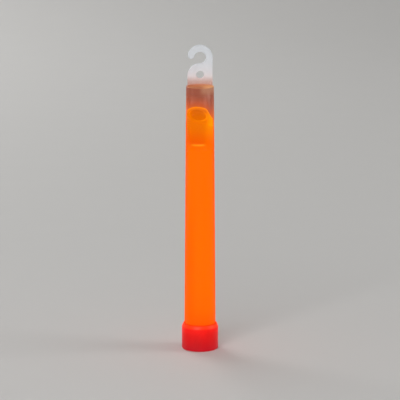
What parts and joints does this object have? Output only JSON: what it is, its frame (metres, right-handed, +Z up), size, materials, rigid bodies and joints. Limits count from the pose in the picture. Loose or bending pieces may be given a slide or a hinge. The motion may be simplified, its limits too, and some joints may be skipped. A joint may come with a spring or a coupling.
{
  "type": "chemical light stick",
  "caption": "Slim snap-to-glow chemical light stick: a milky tapered tube with a flat hook and lanyard hole on its closed end and a sealed red cap, lit orange.",
  "frame": {"origin": "centre of the cap's flat underside", "axes": "+Z up the tube to the hook, the flat hook tab in the XZ plane with its mouth towards -X"},
  "size_m": [0.018, 0.018, 0.152],
  "materials": {
    "milky_tube": "natural milky polyolefin, satin gloss",
    "red_cap": "translucent red polyolefin, satin gloss, lit from inside",
    "dye_solution": "liquid, glowing orange",
    "activator_solution": "liquid, glowing orange",
    "ampoule_glass": "clear thin glass"
  },
  "bodies": {
    "stick": {"tube_body": "milky_tube", "end_cap": "red_cap", "dye_solution": "dye_solution"},
    "ampoule_lower_part": {"ampoule_lower": "ampoule_glass", "activator_solution": "activator_solution", "ampoule_shard_1": "ampoule_glass", "ampoule_shard_2": "ampoule_glass", "ampoule_shard_3": "ampoule_glass", "ampoule_shard_4": "ampoule_glass", "ampoule_shard_5": "ampoule_glass", "ampoule_shard_6": "ampoule_glass"},
    "ampoule_middle_part": {"ampoule_middle": "ampoule_glass"},
    "ampoule_upper_part": {"ampoule_upper": "ampoule_glass"}
  },
  "joints": [
    {"name": "ampoule_lower_slide", "type": "slide", "parent": "stick", "child": "ampoule_lower_part", "axis": [0, 0, 1], "range_m": [0, 0.0035]},
    {"name": "ampoule_middle_slide", "type": "slide", "parent": "ampoule_lower_part", "child": "ampoule_middle_part", "axis": [0, 0, 1], "range_m": [0, 0.003]},
    {"name": "ampoule_upper_slide", "type": "slide", "parent": "ampoule_middle_part", "child": "ampoule_upper_part", "axis": [0, 0, 1], "range_m": [0, 0.0038]}
  ]
}
